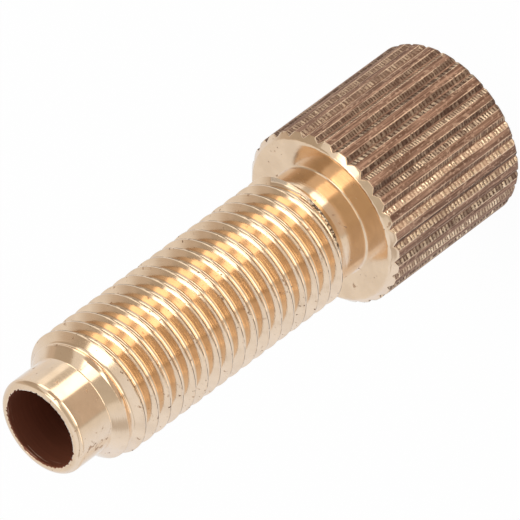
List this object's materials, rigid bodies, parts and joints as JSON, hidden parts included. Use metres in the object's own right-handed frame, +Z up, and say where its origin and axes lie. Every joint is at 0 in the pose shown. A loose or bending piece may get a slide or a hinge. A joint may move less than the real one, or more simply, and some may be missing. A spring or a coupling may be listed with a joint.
{
  "type": "cable adjuster screw",
  "caption": "Hollow threaded cable adjuster screw with a knurled head, plain nose spigot and through bore.",
  "frame": {"origin": "middle of the head's end face, which is the face it stands on", "axes": "+Z up the bore from the head to the nose; +X through the middle of a knurl groove"},
  "size_m": [0.0108, 0.0108, 0.0333],
  "materials": {
    "brass": "bright turned brass, with a duller bronze-brown straight knurl"
  },
  "bodies": {
    "root": {"adjuster_screw": "brass"}
  },
  "joints": []
}
